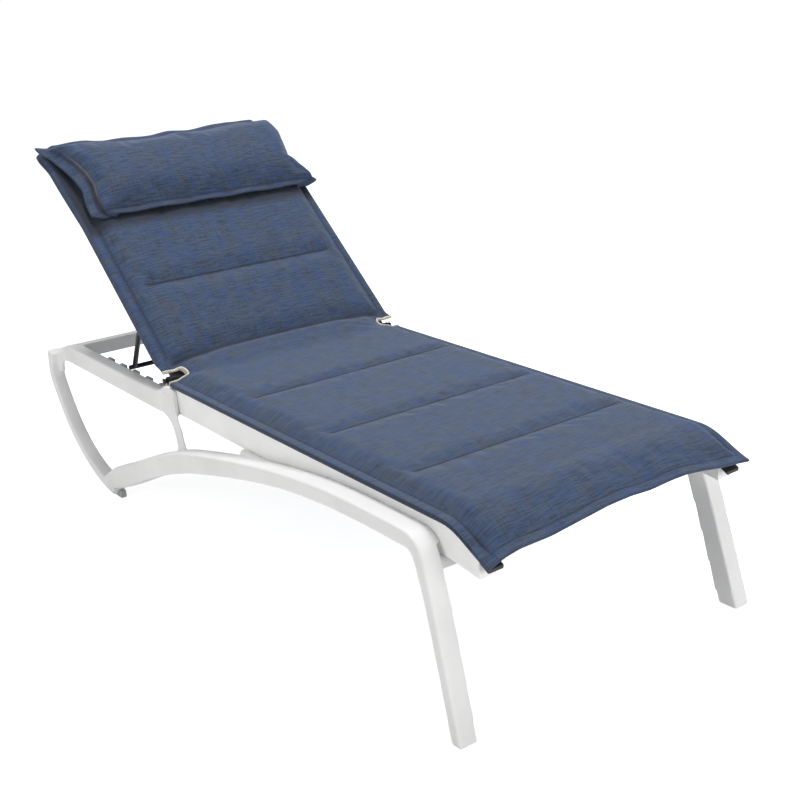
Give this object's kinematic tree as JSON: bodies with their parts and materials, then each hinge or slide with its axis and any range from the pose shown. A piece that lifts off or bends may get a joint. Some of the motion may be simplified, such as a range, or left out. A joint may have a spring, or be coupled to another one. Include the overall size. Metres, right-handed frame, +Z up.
{
  "type": "chaise lounge",
  "caption": "Outdoor chaise lounge: moulded white side frames, padded blue sling seat, and a reclining back with a head pillow held by a hinged prop on toothed racks.",
  "frame": {"origin": "on the floor, under the middle of the whole lounge at rest", "axes": "+Y towards the head end, +Z up, +X to the right seen from the foot end"},
  "size_m": [0.7892, 1.848, 0.9016],
  "materials": {
    "frame_white": "fine matt texture",
    "rail_white": "white powder coat",
    "glide_grey": "moulded, matt",
    "black_metal": "black powder coat",
    "black_plastic": "moulded, matt",
    "steel": "plain",
    "sling_fabric": "heathered slate-blue weave",
    "trim_cream": "smooth"
  },
  "bodies": {
    "frame": {"side_frame_right": "frame_white", "side_frame_left": "frame_white", "front_glide_right": "glide_grey", "front_glide_left": "glide_grey", "rear_glide_right": "glide_grey", "rear_glide_left": "glide_grey", "seat_rail_right": "rail_white", "seat_rail_left": "rail_white", "seat_spline_right": "black_plastic", "seat_spline_left": "black_plastic", "rail_end_cap_right": "black_plastic", "rail_end_cap_left": "black_plastic", "head_crossbar": "rail_white", "front_cross_tube": "rail_white", "mid_cross_tube": "rail_white", "rack_right": "glide_grey", "rack_left": "glide_grey", "seat_hinge_lug_right": "black_metal", "seat_hinge_lug_left": "black_metal", "pivot_pin_right": "black_metal", "pivot_pin_left": "black_metal", "seat_sling": "sling_fabric", "rail_screw_1_right": "steel", "rail_screw_1_left": "steel", "rail_screw_2_right": "steel", "rail_screw_2_left": "steel", "rack_screw_1_right": "steel", "rack_screw_1_left": "steel", "rack_screw_2_right": "steel", "rack_screw_2_left": "steel", "crossbar_screw_right": "steel", "crossbar_screw_left": "steel"},
    "backrest": {"back_hinge_lug_right": "black_metal", "back_hinge_lug_left": "black_metal", "back_rail_right": "black_metal", "back_rail_left": "black_metal", "back_top_tube": "black_metal", "back_low_tube": "black_metal", "prop_ear_right": "black_metal", "prop_ear_left": "black_metal", "prop_pin_right": "steel", "prop_pin_left": "steel", "back_sling": "sling_fabric", "head_pillow": "sling_fabric", "pillow_flap": "sling_fabric", "notch_trim_right": "trim_cream", "notch_trim_left": "trim_cream"},
    "prop": {"prop_leg_right": "black_metal", "prop_leg_left": "black_metal", "prop_bar": "black_metal", "prop_tip_right": "black_plastic", "prop_tip_left": "black_plastic"}
  },
  "joints": [
    {"name": "back_recline", "type": "hinge", "parent": "frame", "child": "backrest", "pos_m": [0, 0.269, 0.392], "axis": [1, 0, 0], "range_deg": [-40.3, 23]},
    {"name": "prop_swing", "type": "hinge", "parent": "backrest", "child": "prop", "pos_m": [0, 0.4088, 0.48847], "axis": [1, 0, 0], "range_deg": [-50, 87]}
  ],
  "couplings": [
    {"joint": "prop_swing", "follows": "back_recline", "ratio": -2.141}
  ]
}
